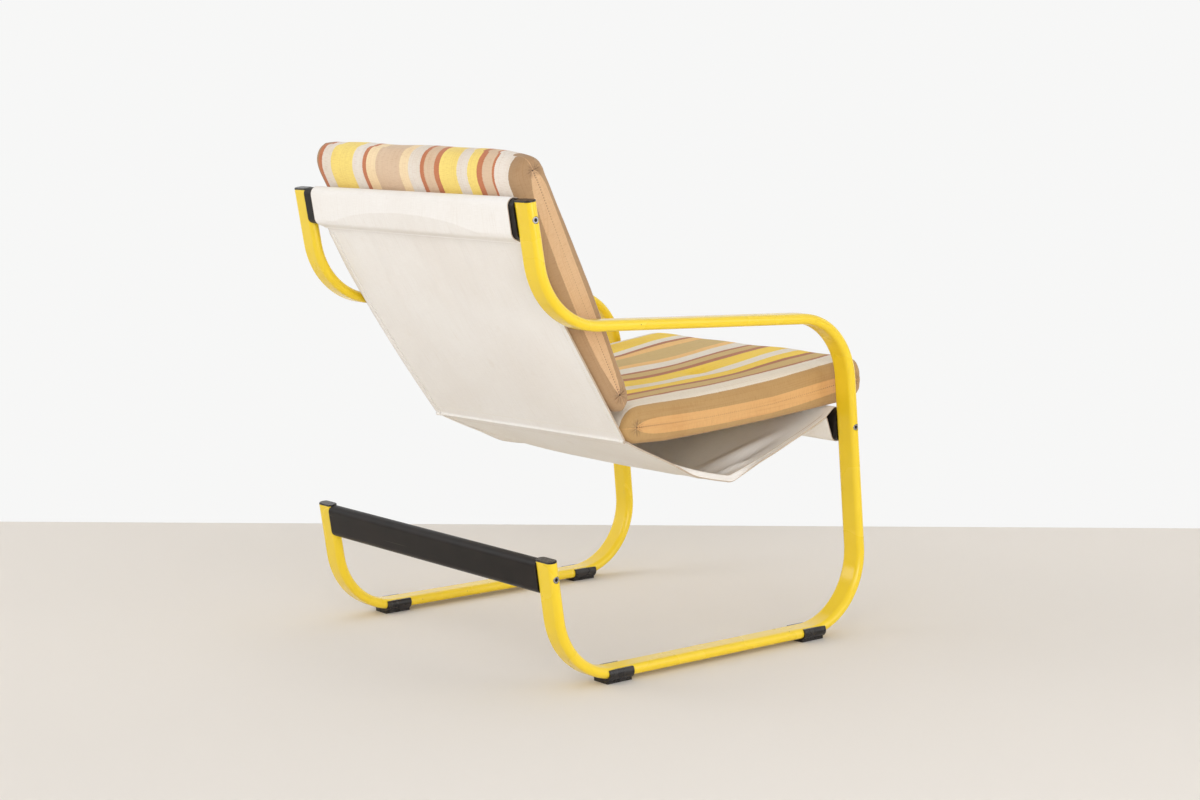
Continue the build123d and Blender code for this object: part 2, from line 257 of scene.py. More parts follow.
def blackPlastic():
    shade = Shade("blackPlastic", Specular_IOR_Level=0.4)
    tone = shade.noise(60.0)
    color = shade.mix(shade.step(tone, 0.35, 0.7), (0.014, 0.012, 0.012), (0.03, 0.026, 0.025))
    shade.feed(
        Base_Color=color,
        Roughness=shade.step(tone, 0.3, 0.7, 0.22, 0.34),
        Normal=shade.bump(shade.noise(700.0, 1.0), 0.0001, 0.3),
    )
    return shade.material


def screwAxes():  # y and z of each crossbar's screws, in metres
    axes = []
    for node in ("right_top_bar_screw", "right_seat_bar_screw", "right_rear_bar_screw"):
        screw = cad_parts[node]
        corners = [screw.matrix_world @ Vector(corner) for corner in screw.bound_box]
        axes.append([(min(c[k] for c in corners) + max(c[k] for c in corners)) / 2 for k in (1, 2)])
    return axes


def brightScrew():
    shade = Shade("brightScrew")
    tone = shade.noise(900.0, 2.0)
    across = shade.node("SeparateXYZ", values={0: shade.place()}, output=1)
    up = Wire(shade, across.socket.node.outputs[2])
    near = None
    for y, z in screwAxes():
        reach = ((across - y) * (across - y) + (up - z) * (up - z)) ** 0.5
        near = near.math("MINIMUM", near, reach) if near else reach
    # painted shade: inside 2.5 mm of each screw's axis the colour goes near-black and not metallic, for the
    # shade in the hex socket
    socket = shade.step(near, 0.0025, 0.0029, 1.0, 0.0)
    rim = shade.step(near, 0.0042, 0.0050)
    color = shade.mix(tone, (0.34, 0.33, 0.345), (0.44, 0.43, 0.445))
    color = shade.mix(rim, color, (0.26, 0.25, 0.25))
    shade.feed(
        Base_Color=shade.mix(socket, color, (0.012, 0.011, 0.011)),
        Roughness=shade.step(tone, 0.3, 0.7, 0.2, 0.32),
        Metallic=shade.step(socket, 0.0, 1.0, 1.0, 0.0),
    )
    return shade.material


def dress(node, material):
    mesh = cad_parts[node].data
    mesh.materials.clear()
    mesh.materials.append(material)


finishes = {
    "_side_frame": yellowPaint(),
    "_crossbar": blackPaint(),
    "_cap": blackPlastic(),
    "_foot": blackPlastic(),
    "_plug": blackPlastic(),
    "_screw": brightScrew(),
}
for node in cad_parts:
    for ending, material in finishes.items():
        if node.endswith(ending):
            dress(node, material)
print("frame dressed")

# cloth, worked out in millimetres and made in metres


def toned(red, green, blue):  # a colour read off a fabric, made linear
    return tuple(((c / 255 + 0.055) / 1.055) ** 2.4 for c in (red, green, blue))


def smooth(value, low, high):
    share = np.clip((value - low) / (high - low), 0, 1)
    return share * share * (3 - 2 * share)


def hill(value, middle, reach):  # one at the middle, nothing past the reach
    return 1 - smooth(np.abs(value - middle), 0, reach)


def windRound(posts, bend, runs):  # a thread drawn round posts of (back, up, radius)
    normals = []
    for (x1, y1, r1), (x2, y2, r2) in zip(posts, posts[1:]):
        gap = math.hypot(x2 - x1, y2 - y1)
        ex, ey = (x2 - x1) / gap, (y2 - y1) / gap
        part = (r1 - r2) / gap
        rest = math.sqrt(1 - part * part)
        normals.append(math.atan2(part * ey - rest * ex, part * ex + rest * ey))
    path = []
    for index, (x, y, radius) in enumerate(posts):
        came = normals[max(index - 1, 0)]
        turn = (normals[min(index, len(normals) - 1)] - came + math.pi) % (2 * math.pi) - math.pi
        if turn < -1:
            turn += 2 * math.pi
        for angle in came + turn * np.linspace(0, 1, bend if radius else 1):
            path.append((x + radius * math.cos(angle), y + radius * math.sin(angle)))
        if index < len(runs):
            x2, y2, r2 = posts[index + 1]
            end = (x2 + r2 * math.cos(normals[index]), y2 + r2 * math.sin(normals[index]))
            path += [tuple(np.array(path[-1]) * (1 - k) + np.array(end) * k) for k in runs[index]]
    return np.array(path)


def parts(count):  # even shares between two ends
    return np.linspace(0, 1, count + 1)[1:-1]


def atBar(bar, path):  # from back and up beside a leaning bar to y and z
    lean = math.radians(bar["lean"])
    back, up = path[:, 0], path[:, 1]
    y = bar["y"] + up * math.sin(lean) + back * math.cos(lean)
    z = bar["z"] + up * math.cos(lean) - back * math.sin(lean)
    return np.stack([y, z], axis=1)


def unit(vectors):
    return vectors / np.linalg.norm(vectors, axis=-1, keepdims=True)


def outward(points):  # the cloth's outer side, from a grid whose columns run along x
    return unit(np.cross(np.gradient(points, axis=1), np.gradient(points, axis=0)))


def clothMesh(name, points, across, along):
    rows, columns = points.shape[:2]
    corner = np.arange(rows * columns).reshape(rows, columns)
    faces = np.stack([corner[:-1, :-1], corner[:-1, 1:], corner[1:, 1:], corner[1:, :-1]], axis=-1)
    return pieceFrom(name, points, faces, np.stack([across, along], axis=-1).reshape(-1, 2))


def pieceFrom(name, points, faces, flat=None):  # flat holds each point's place on the uncut cloth
    mesh = bpy.data.meshes.new(name)
    mesh.from_pydata((points.reshape(-1, 3) / 1000).tolist(), [], faces.reshape(-1, faces.shape[-1]).tolist())
    piece = bpy.data.objects.new(name, mesh)
    bpy.context.collection.objects.link(piece)
    if flat is not None:
        spots = np.zeros(len(mesh.loops), dtype=np.int32)
        mesh.loops.foreach_get("vertex_index", spots)
        mesh.uv_layers.new(name="cloth").data.foreach_set("uv", (flat[spots] / 1000).reshape(-1))
    mesh.polygons.foreach_set("use_smooth", [True] * len(mesh.polygons))
    return piece


def onlyThis(piece):
    bpy.ops.object.select_all(action="DESELECT")
    piece.select_set(True)
    bpy.context.view_layer.objects.active = piece


def thicken(piece, thick):
    onlyThis(piece)
    wall = piece.modifiers.new("thickness", "SOLIDIFY")
    wall.thickness = thick / 1000
    wall.offset = 0
    bpy.ops.object.modifier_apply(modifier="thickness")


thread = {
    "long": 2.7,
    "pitch": 3.8,
    "thick": 0.5,
    "sides": 6,
    "lift": 0.55,  # off the cloth's middle
    "hemLift": 1.55,  # off it over a folded hem, as a share of the cloth's thickness
}


def stitches(name, rows):  # rows of (points, normals), one small capsule for each stitch
    t = thread
    turns = np.radians(np.arange(t["sides"]) * 360 / t["sides"])
    lengths = (-0.5, -0.42, 0.42, 0.5)
    shape = np.array([
        (long * t["long"], 0.5 * t["thick"] * wide * math.cos(a), 0.5 * t["thick"] * wide * math.sin(a))
        for long, wide in zip(lengths, (0.45, 1, 1, 0.45)) for a in turns
    ])
    sides = t["sides"]
    quads = []
    for ring in range(3):
        here, there = ring * sides, (ring + 1) * sides
        for k in range(sides):
            after = (k + 1) % sides
            quads.append((here + k, here + after, there + after, there + k))
    # each six-sided end is closed by two quads
    ends = [(5, 4, 3, 2), (5, 2, 1, 0), (18, 19, 20, 21), (18, 21, 22, 23)]
    points, faces = [], []
    for line, normals in rows:
        steps = np.linalg.norm(np.diff(line, axis=0), axis=1)
        length = np.concatenate([[0], np.cumsum(steps)])
        spots = np.arange(t["pitch"], length[-1] - t["pitch"], t["pitch"])
        middle = np.stack([np.interp(spots, length, line[:, k]) for k in range(3)], axis=1)
        ahead = np.stack([np.interp(spots + 1, length, line[:, k]) for k in range(3)], axis=1)
        up = unit(np.stack([np.interp(spots, length, normals[:, k]) for k in range(3)], axis=1))
        run = unit(ahead - middle)
        side = unit(np.cross(up, run))
        up = np.cross(run, side)
        for place, x, y, z in zip(middle, run, side, up):
            faces += [tuple(len(points) * len(shape) + k for k in quad) for quad in quads + ends]
            points.append(place + shape @ np.array([x, y, z]))
    return pieceFrom(name, np.array(points), np.array(faces))


# canvas sling: one strip, a pocket round each bar, a sewn crease and a trough between

sling = {
    "halfWidth": 248.5,
    "thick": 1.2,
    "topBar": {"y": 348.24, "z": 667.53, "lean": 10.6, "straight": 18.5},
    "seatBar": {"y": -287.03, "z": 328.0, "lean": 6.013, "straight": 16.0},
    "round": 11.1,  # cloth's middle round a bar
    "topSeam": (-7.8, -33.6),  # behind and above the bar's middle
    "frontSeam": (20.5, 15.9),
    "slide": (-5.6, -6.5),  # the pockets sit this far to the right on their bars
    "arcTop": 0.8,  # the rear layer stands off the bar and breaks along a bow
    "arcDrop": 28.0,
    "arcMiddle": 12.0,
    "arcHalf": 215.0,
    "standOff": 5.5,
    "crease": (132.9, 333.3),
    "creaseSkew": (11.4, 7.4),
    "creasePinch": 3.0,
    "belly": 6.0,
    "bellyNear": 0.0,
    "trough": (-71.5, 250.0),
    "troughEdge": 18.0,  # the trough's ends above its middle
    "fold": 8.0,
    "sag": 9.0,
    "riseSag": 5.0,
    "hem": 11.0,
    "hemTurn": 68.0,  # degrees down, along the trough
    "streaks": 1.1,
    "pleats": 0.7,
    "folds": (  # depth, place from the middle, its drift up the rise, half width, peak, reach
        (-8.0, 202.5, 95, 14, 0.28, 0.42),
        (6.5, 176, 60, 20, 0.3, 0.45),
        (-5.0, 140, 80, 24, 0.4, 0.5),
    ),
    "foldsEnd": (212, 236),  # no folds past here, towards the hems
    "ripple": 1.2,
    "sewnEdge": 1.5,
}


def bowed(start, end, bow, shares):  # a run that hangs out sideways in its middle
    run = unit(end - start)
    shares = np.asarray(shares)[:, None]
    return start + (end - start) * shares + np.array([-run[1], run[0]]) * bow * 4 * shares * (1 - shares)


def slingLine(x):  # y and z down the middle of the cloth, from the rear layer's end
    s = sling
    share = x / s["halfWidth"]
    bow = min(abs(x - s["arcMiddle"]) / s["arcHalf"], 1.0)
    high, round_ = s["topBar"]["straight"], s["round"]
    arcUp = max(s["arcTop"] - s["arcDrop"] * bow ** 2.2, -high)
    off = s["standOff"] * (1 - bow ** 2) + 0.3
    back, up = s["topSeam"]
    posts = [(back + 1.5, up - 1.2, 0), (0, -high, round_), (round_ + off - 3, arcUp, 3)]
    posts += [(0, high, round_), (0, -high, round_), (back, up, 0)]
    sewnEdge = (0.04, 0.09, 0.14, 0.22, 0.4, 0.6, 0.8)
    top = atBar(s["topBar"], windRound(posts, 11, [sewnEdge, *(parts(k) for k in (5, 5, 9, 5))]))
    crease = np.array([place - skew * share for place, skew in zip(s["crease"], s["creaseSkew"])])
    belly = s["belly"] + (s["bellyNear"] - s["belly"]) * smooth(-x, 120, 248)
    panel = bowed(top[-1], crease, belly, parts(73))
    corner = np.array([s["trough"][0], s["trough"][1] + s["troughEdge"] * share ** 4])
    back, up = s["frontSeam"]
    high = s["seatBar"]["straight"]
    posts = [(back, up, 0), (0, high, round_), (0, -high, round_), (back - 0.5, up - 1.6, 0)]
    front = atBar(s["seatBar"], windRound(posts, 9, [parts(k) for k in (5, 7, 9)]))
    foldIn = corner + unit(crease - corner) * s["fold"]
    foldOut = corner + unit(front[0] - corner) * s["fold"]
    k = np.linspace(0, 1, 9)[:, None]
    fold = (1 - k) ** 2 * foldIn + 2 * k * (1 - k) * corner + k ** 2 * foldOut
    rear = bowed(crease, foldIn, s["sag"], parts(43))
    rise = bowed(foldOut, front[0], s["riseSag"], parts(38))
    into, away = unit(crease - panel[-1]), unit(rear[0] - crease)
    out = unit(into - away)
    over = unit(into + away)
    deep = s["creasePinch"]
    pinch = [(-0.65, 0.3), (-0.65, deep - 0.7), (-0.4, deep - 0.2), (0, deep), (0.4, deep - 0.2)]
    pinch += [(0.65, deep - 0.7), (0.65, 0.3)]
    ridge = np.array([crease + over * a + out * b for a, b in pinch])
    ends = np.cumsum([len(k) for k in (top, panel, ridge, rear, fold, rise)])
    return np.concatenate([top, panel, ridge, rear, fold, rise, front]), ends


def turnHems(points, places):  # the side hems curl down along the trough
    s = sling
    inner = s["halfWidth"] - s["hem"]
    y = points[:, len(places) // 2, 1]
    turned = smooth(-y, -95, 10) * (1 - 0.6 * smooth(-y, 70, 150)) * (1 - smooth(-y, 150, 245))
    down = outward(points)
    for side in (-1, 1):
        order = [k for k in range(len(places)) if side * places[k] >= inner - 0.01]
        order = order if side > 0 else order[::-1]
        hinge = down[:, order[0]].copy()
        for before, here in zip(order, order[1:]):
            step = abs(places[here] - places[before])
            reach = abs(places[here]) - inner
            angle = np.radians(s["hemTurn"]) * turned * smooth(reach, 0, 4)
            drift = points[:, here] - points[:, before]
            drift[:, 0] = 0  # what the cloth does along y and z at the edge stays
            ahead = np.stack([side * np.cos(angle), 0 * angle, 0 * angle], axis=1)
            down[:, here] = 0
            points[:, here, :] = points[:, before] + drift * (1 - turned[:, None]) + step * (
                ahead + np.sin(angle)[:, None] * hinge
            )
    return points


def slingGrid():
    s = sling
    inner = s["halfWidth"] - s["hem"]
    edge = inner + np.array([1.5, 3.0, 4.5, 6.5, 8.7, 11.0])
    places = np.concatenate([-edge[::-1], np.linspace(-inner, inner, 96), edge])
    lines = [slingLine(x) for x in places]
    ends = lines[0][1]
    columns = [[(x, y, z) for y, z in line] for x, (line, _) in zip(places, lines)]
    points = np.array(columns).transpose(1, 0, 2)
    steps = np.linalg.norm(np.diff(points, axis=0), axis=2)
    along = np.concatenate([np.zeros((1, len(places))), np.cumsum(steps, axis=0)])
    across = np.broadcast_to(places, along.shape)
    x = across
    panel = (along - along[ends[0] - 1]) / (along[ends[1]] - along[ends[0] - 1])
    onPanel = smooth(panel, 0.0, 0.02) * (1 - smooth(panel, 0.97, 1.0))
    slant = x - 26 * panel
    waves = 0.6 * np.sin(slant / 8.9 + 1.1) + 0.4 * np.sin(slant / 6.1 + 0.4) + 0.35 * np.sin(slant / 14.7)
    streak = s["streaks"] * waves * (1 - smooth(panel, 0.05, 0.75))
    streak = streak * (1 - smooth(np.abs(x), 130, 200)) * onPanel
    lens = hill(along, 19, 17) * (1 - smooth(np.abs(x - 12), 150, 205))
    pleat = s["pleats"] * (1.2 + np.sin(x / 3.9) * np.sin(x / 17 + 2) + 0.5 * np.sin(x / 7.3 + 1)) * lens
    rise = (along - along[ends[3]]) / (along[ends[5]] - along[ends[3]])
    onSeat = smooth(along, along[ends[2]], along[ends[2]] + 25) * (1 - smooth(rise, 0.85, 1.0))
    folds = 0
    for deep, start, drift, wide, peak, reach in s["folds"]:
        folds = folds + deep * hill(x + start + drift * rise, 0, wide) * hill(rise, peak, reach)
    folds = folds + s["ripple"] * np.sin(x / 27 + 1.3) * hill(rise, 0.35, 0.6)
    onSeat *= 1 - smooth(np.abs(x), *s["foldsEnd"])
    fold = s["sewnEdge"] * np.exp(-((along - 1.2) / 1.3) ** 2)  # the pocket's sewn edge stands up
    raised = streak - pleat - fold + folds * onSeat
    points = points + outward(points) * raised[..., None]
    points = turnHems(points, places)
    atTop = 1 - smooth(along - along[ends[0]], 0, 90)
    atFront = smooth(rise, 0.55, 1.0)
    points[..., 0] += s["slide"][0] * atTop + s["slide"][1] * atFront
    return points, across, along, ends, places


def canvasCloth(name, seatRun):  # seatRun: where the seat lies along the uncut cloth
    shade = Shade(name, Roughness=0.9, Sheen_Weight=0.1, Sheen_Roughness=0.6)
    surface = shade.node("UVMap", {"uv_map": "cloth"})
    across = shade.node("SeparateXYZ", values={0: surface})
    along = Wire(shade, across.socket.node.outputs[1])
    warp = shade.noise(1.0, 2.0, surface, (1500, 60, 1))
    weft = shade.noise(1.0, 2.0, surface, (60, 1500, 1))
    slub = shade.noise(1.0, 1.0, surface, (700, 14, 1))
    mottle = shade.noise(5.0, 3.0)
    dust = shade.noise(38.0, 3.0)
    color = shade.mix(shade.step(mottle, 0.3, 0.7), toned(247, 244, 240), toned(241, 236, 230))
    color = shade.mix(shade.step(slub, 0.56, 0.72, 0.0, 0.25), color, toned(228, 220, 210))
    color = shade.mix(shade.step(dust, 0.62, 0.8, 0.0, 0.2), color, toned(222, 211, 198))
    weave = warp + weft
    color = shade.mix(shade.step(weave, 0.8, 1.2, 0.0, 0.12), color, toned(208, 198, 186))
    edge = across.math("ABSOLUTE", across, 0.0)
    # painted shadow: the cloth's last millimetre and its cut rim go brown, for the shadow line along the
    # folded hem's edge
    color = shade.mix(shade.step(edge, 0.2472, 0.2484, 0.0, 0.75), color, toned(176, 148, 116))
    # painted shadow: a thin darker line where the hem turns down, on the seat part only, for the shade
    # between the folded layers
    hemFoldShadow = shade.step((edge - 0.2379).math("ABSOLUTE", edge - 0.2379, 0.0), 0.0003, 0.0009, 0.6, 0.0)
    begins, stops = seatRun
    onSeat = shade.step(along, begins, begins + 0.02) * shade.step(along, stops - 0.02, stops, 1.0, 0.0)
    color = shade.mix(hemFoldShadow * onSeat, color, toned(164, 132, 98))
    # painted highlight: the first 2 mm of cloth from the rear layer's end go near-white, for the light caught
    # by the pocket's sewn ridge
    shade.feed(
        Base_Color=shade.mix(shade.step(along, 0.0018, 0.0026, 1.0, 0.0), color, toned(255, 252, 248)),
        Normal=shade.bump(weave + slub * 0.5, 0.0004, 0.4),
    )
    return shade.material


def sewingThread():
    shade = Shade("sewingThread", Roughness=0.7)
    twist = shade.noise(1500.0, 1.0)
    shade.feed(
        Base_Color=shade.mix(twist, toned(238, 230, 218), toned(222, 211, 194)),
        Normal=shade.bump(twist, 0.0001, 0.4),
    )
    return shade.material


points, across, along, ends, places = slingGrid()
canvas = canvasCloth("canvas", along[[ends[2], ends[5]], len(places) // 2] / 1000)
slingPiece = clothMesh("canvasSling", points, across, along)
thicken(slingPiece, sling["thick"])
slingPiece.data.materials.append(canvas)


def hemStrip(name, columns, rows):  # second layer of a folded hem, on the cloth's outer side
    out = outward(points)[rows][:, columns]
    strip = points[rows][:, columns] + out * (sling["thick"] + 0.05)
    piece = clothMesh(name, strip, across[rows][:, columns], along[rows][:, columns] + 3000)
    thicken(piece, sling["thick"] - 0.2)
    piece.data.materials.append(canvas)
    return piece


hemRows = slice(ends[0] + 1, ends[5] - 1)
nearHem = hemStrip("canvasHemRight", slice(0, 7), hemRows)
farHem = hemStrip("canvasHemLeft", slice(-7, None), hemRows)
normals = outward(points)
sewn = []
hemColumns = (1, 5, -2, -6)  # two rows along each hem
for column in hemColumns:  # on its outer layer
    line, side = points[hemRows, column], normals[hemRows, column]
    sewn.append((line + side * (sling["thick"] * thread["hemLift"]), side))
for column in hemColumns:  # and on the inner side
    line, side = points[hemRows, column], normals[hemRows, column]
    sewn.append((line - side * thread["lift"], -side))
for row in (2, 4, ends[1] - 3, ends[2] + 3):  # pocket seam and crease
    sewn.append((points[row] + normals[row] * thread["lift"], normals[row]))
seamThread = stitches("slingStitches", sewn)
seamThread.data.materials.append(sewingThread())
for piece in (slingPiece, nearHem, farHem, seamThread):
    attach(piece, "root")
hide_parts("sling_top_pocket", "sling_back_panel", "sling_seat_panel", "sling_front_pocket")

# cushions: crowned bags with rounded ends, a seam along each side, boxed corners

cushions = {
    "seat": {
        "length": 508.3,
        "foot": (144.6, 357.6),
        "head": 394.0,
        "sag": 6.9,
        "turn": 1.4,
        "shares": (0, 0.08, 0.16, 0.385, 0.614, 0.81, 1),
        "crown": (31.0, 31.5, 32.5, 33.0, 35.0, 40.0, 41.0),  # shoulders above the seam's plane
        "dome": (0.0, 0.0),  # the middle beyond the shoulders, above and below
        "under": (26.0, 26.5, 28.8, 28.8, 28.8, 28.8, 28.8),
        "side": (24.0, 19.0),  # from the shoulders out to the seam, above and below
        "seamRise": (0.0, -3.5, -4.0, 3.0),
        "corner": (18.0, 30.0),
        "tuck": 0.0,
        "band": (12.5, 13.5, 14.0, 18.0),  # above and below the seam, tapering at each end
    },
    "back": {
        "length": 421.0,
        "foot": (146.9, 389.6),
        "tilt": 27.1,
        "bow": 5.0,
        "roll": 0.0165,  # turned in its own plane, about a place up its middle
        "pivot": 220.0,
        "shares": (0, 0.05, 0.16, 0.31, 0.44, 0.58, 0.71, 1),
        "crown": (22.0, 22.5, 24.0, 28.5, 30.5, 31.0, 31.0, 31.0),
        "dome": (6.0, 1.0),
        "under": (23.0, 23.3, 28.8, 37.0, 38.5, 38.0, 34.5, 30.5),
        "side": (26.0, 20.0),
        "seamRise": (1.0, 0.0, 2.0, 7.0),
        "corner": (15.0, 15.0),
        "tuck": 0.12,
        "band": (13.0, 18.5, 46.0, 18.0),
    },
    "halfWidth": 251.0,
    "nose": 36.0,
    "drawIn": 4.0,
    "boxy": (3.0, 3.4),  # 2 is round, more is squarer: above and below the seam
    "cell": 5.0,
    "seamEnd": 27.0,  # boxed corners, from the cushion's ends
    "start": 2.5,  # the simulated bag starts this much smaller
    "frames": 20,
    "caps": (2.4, 1.2),  # how far the simulation may move the cloth, above and below the seam
    "valley": 1.19,  # the seam's groove
    "gathers": 0.38,
    "boxSeam": 1.6,  # the groove across a boxed corner
    "star": 0.8,  # puckers round that corner's middle
    "dent": {"depth": 6.5, "place": (-92.0, -138.0), "size": (15.0, 26.0)},
    "slump": 5.5,  # how far the back's upper right corner hangs down
}


def noseShare(distance, radius):
    return math.sqrt(1 - (1 - min(distance / radius, 1.0)) ** 2)


def seatFrame(form, place):  # middle, across and up at a place along the seat cushion
    share = place / form["length"]
    z = form["foot"][1] + (form["head"] - form["foot"][1]) * share - 4 * form["sag"] * share * (1 - share)
    turn = math.radians(form["turn"] * (1 - share))
    across = np.array([math.cos(turn), -math.sin(turn), 0])
    return np.array([0, form["foot"][0] - place, z]), across, np.array([0, 0, 1])


def backFrame(form, place):
    share = place / form["length"]
    tilt = math.radians(form["tilt"])
    up = np.array([0, -math.cos(tilt), math.sin(tilt)])
    run = np.array([0, math.sin(tilt), math.cos(tilt)])
    middle = np.array([0, *form["foot"]]) + run * (place - form["pivot"] * form["roll"])
    middle = middle + up * 4 * form["bow"] * share * (1 - share)
    return middle, np.array([1, 0, 0]) + run * form["roll"], up


def cushionHalves(form, place, shrink):  # upper and lower outline of a slice, from +x to -x
    c = cushions
    length = form["length"]
    near = min(place, length - place)
    thick = noseShare(near, c["nose"])
    corner = form["corner"][int(2 * place > length)]
    width = c["halfWidth"] - shrink - corner * (1 - noseShare(near, corner))
    width -= c["drawIn"] * math.sin(math.pi * place / length)
    seam = np.interp(place / length, (0.05, 0.35, 0.6, 0.85), form["seamRise"]) * thick
    quarter = np.radians(np.linspace(0, 90, 9))
    count = int(round(2 * (c["halfWidth"] - 22) / c["cell"]))
    halves = []
    for part, kind, sign in ((0, "crown", 1), (1, "under", -1)):
        boxy, side, dome = c["boxy"][part], form["side"][part], form["dome"][part]
        edge = (np.interp(place / length, form["shares"], form[kind]) - shrink) * thick
        shoulder = width - side
        sideX = shoulder + side * np.cos(quarter) ** (2 / boxy)
        sideZ = sign * seam + (edge - sign * seam) * np.sin(quarter) ** (2 / boxy)
        face = np.linspace(shoulder, -shoulder, count)[1:-1]
        faceZ = edge + dome * thick * (1 - (face / shoulder) ** 2)
        x = np.concatenate([sideX, face, -sideX[::-1]])
        z = np.concatenate([sideZ, faceZ, sideZ[::-1]])
        halves.append(np.stack([x, sign * z], axis=1))
    return halves


def cushionRings(form, frameAt, shrink):
    c = cushions
    length = form["length"]
    rear = c["nose"] * (1 - np.cos(np.radians(np.linspace(0, 90, 11))))
    count = int((length - 2 * c["nose"]) / c["cell"])
    middle = np.linspace(c["nose"], length - c["nose"], count)[1:-1]
    places = np.concatenate([rear, middle, length - rear[::-1]])
    rings, arcs = [], []
    for place in places:
        spot, side, up = frameAt(form, shrink + place * (length - 2 * shrink) / length)
        halves = cushionHalves(form, place, shrink)
        for half in halves:
            arc = np.concatenate([[0], np.cumsum(np.linalg.norm(np.diff(half, axis=0), axis=1))])
            arcs.append(arc[-1] / 2 - arc)
        ring = np.concatenate([halves[0], halves[1][::-1][1:-1]])
        rings.append(spot + ring[:, :1] * side + ring[:, 1:] * up)
    above, below = np.array(arcs[0::2]), np.array(arcs[1::2])
    return np.array(rings), places, above, below * above.max() / below.max()


def inflate(bag, target, caps):  # cloth under pressure, held near its cut shape
    onlyThis(bag)
    puff = bag.modifiers.new("puff", "CLOTH")
    cloth = puff.settings
    cloth.quality = 5
    cloth.mass = 0.25
    cloth.tension_stiffness = cloth.compression_stiffness = 18
    cloth.shear_stiffness = 6
    cloth.bending_stiffness = 0.4
    cloth.use_pressure = True
    cloth.uniform_pressure_force = 4
    cloth.effector_weights.gravity = 0
    cloth.vertex_group_shrink = "seam"
    cloth.shrink_min = 0.0
    cloth.shrink_max = 0.07
    puff.point_cache.frame_end = cushions["frames"]
    for step in range(1, cushions["frames"] + 1):
        bpy.context.scene.frame_set(step)
    bpy.ops.object.modifier_apply(modifier="puff")
    bpy.context.scene.frame_set(1)
    spots = np.zeros(len(bag.data.vertices) * 3)
    bag.data.vertices.foreach_get("co", spots)
    moved = spots.reshape(-1, 3) * 1000 - target
    far = np.linalg.norm(moved, axis=1, keepdims=True)
    moved *= np.minimum(1, caps[:, None] / np.maximum(far, 0.001))
    bag.data.vertices.foreach_set("co", ((target + moved) / 1000).reshape(-1))


def pointValues(mesh, name):
    values = np.zeros(len(mesh.vertices))
    mesh.attributes[name].data.foreach_get("value", values)
    return values


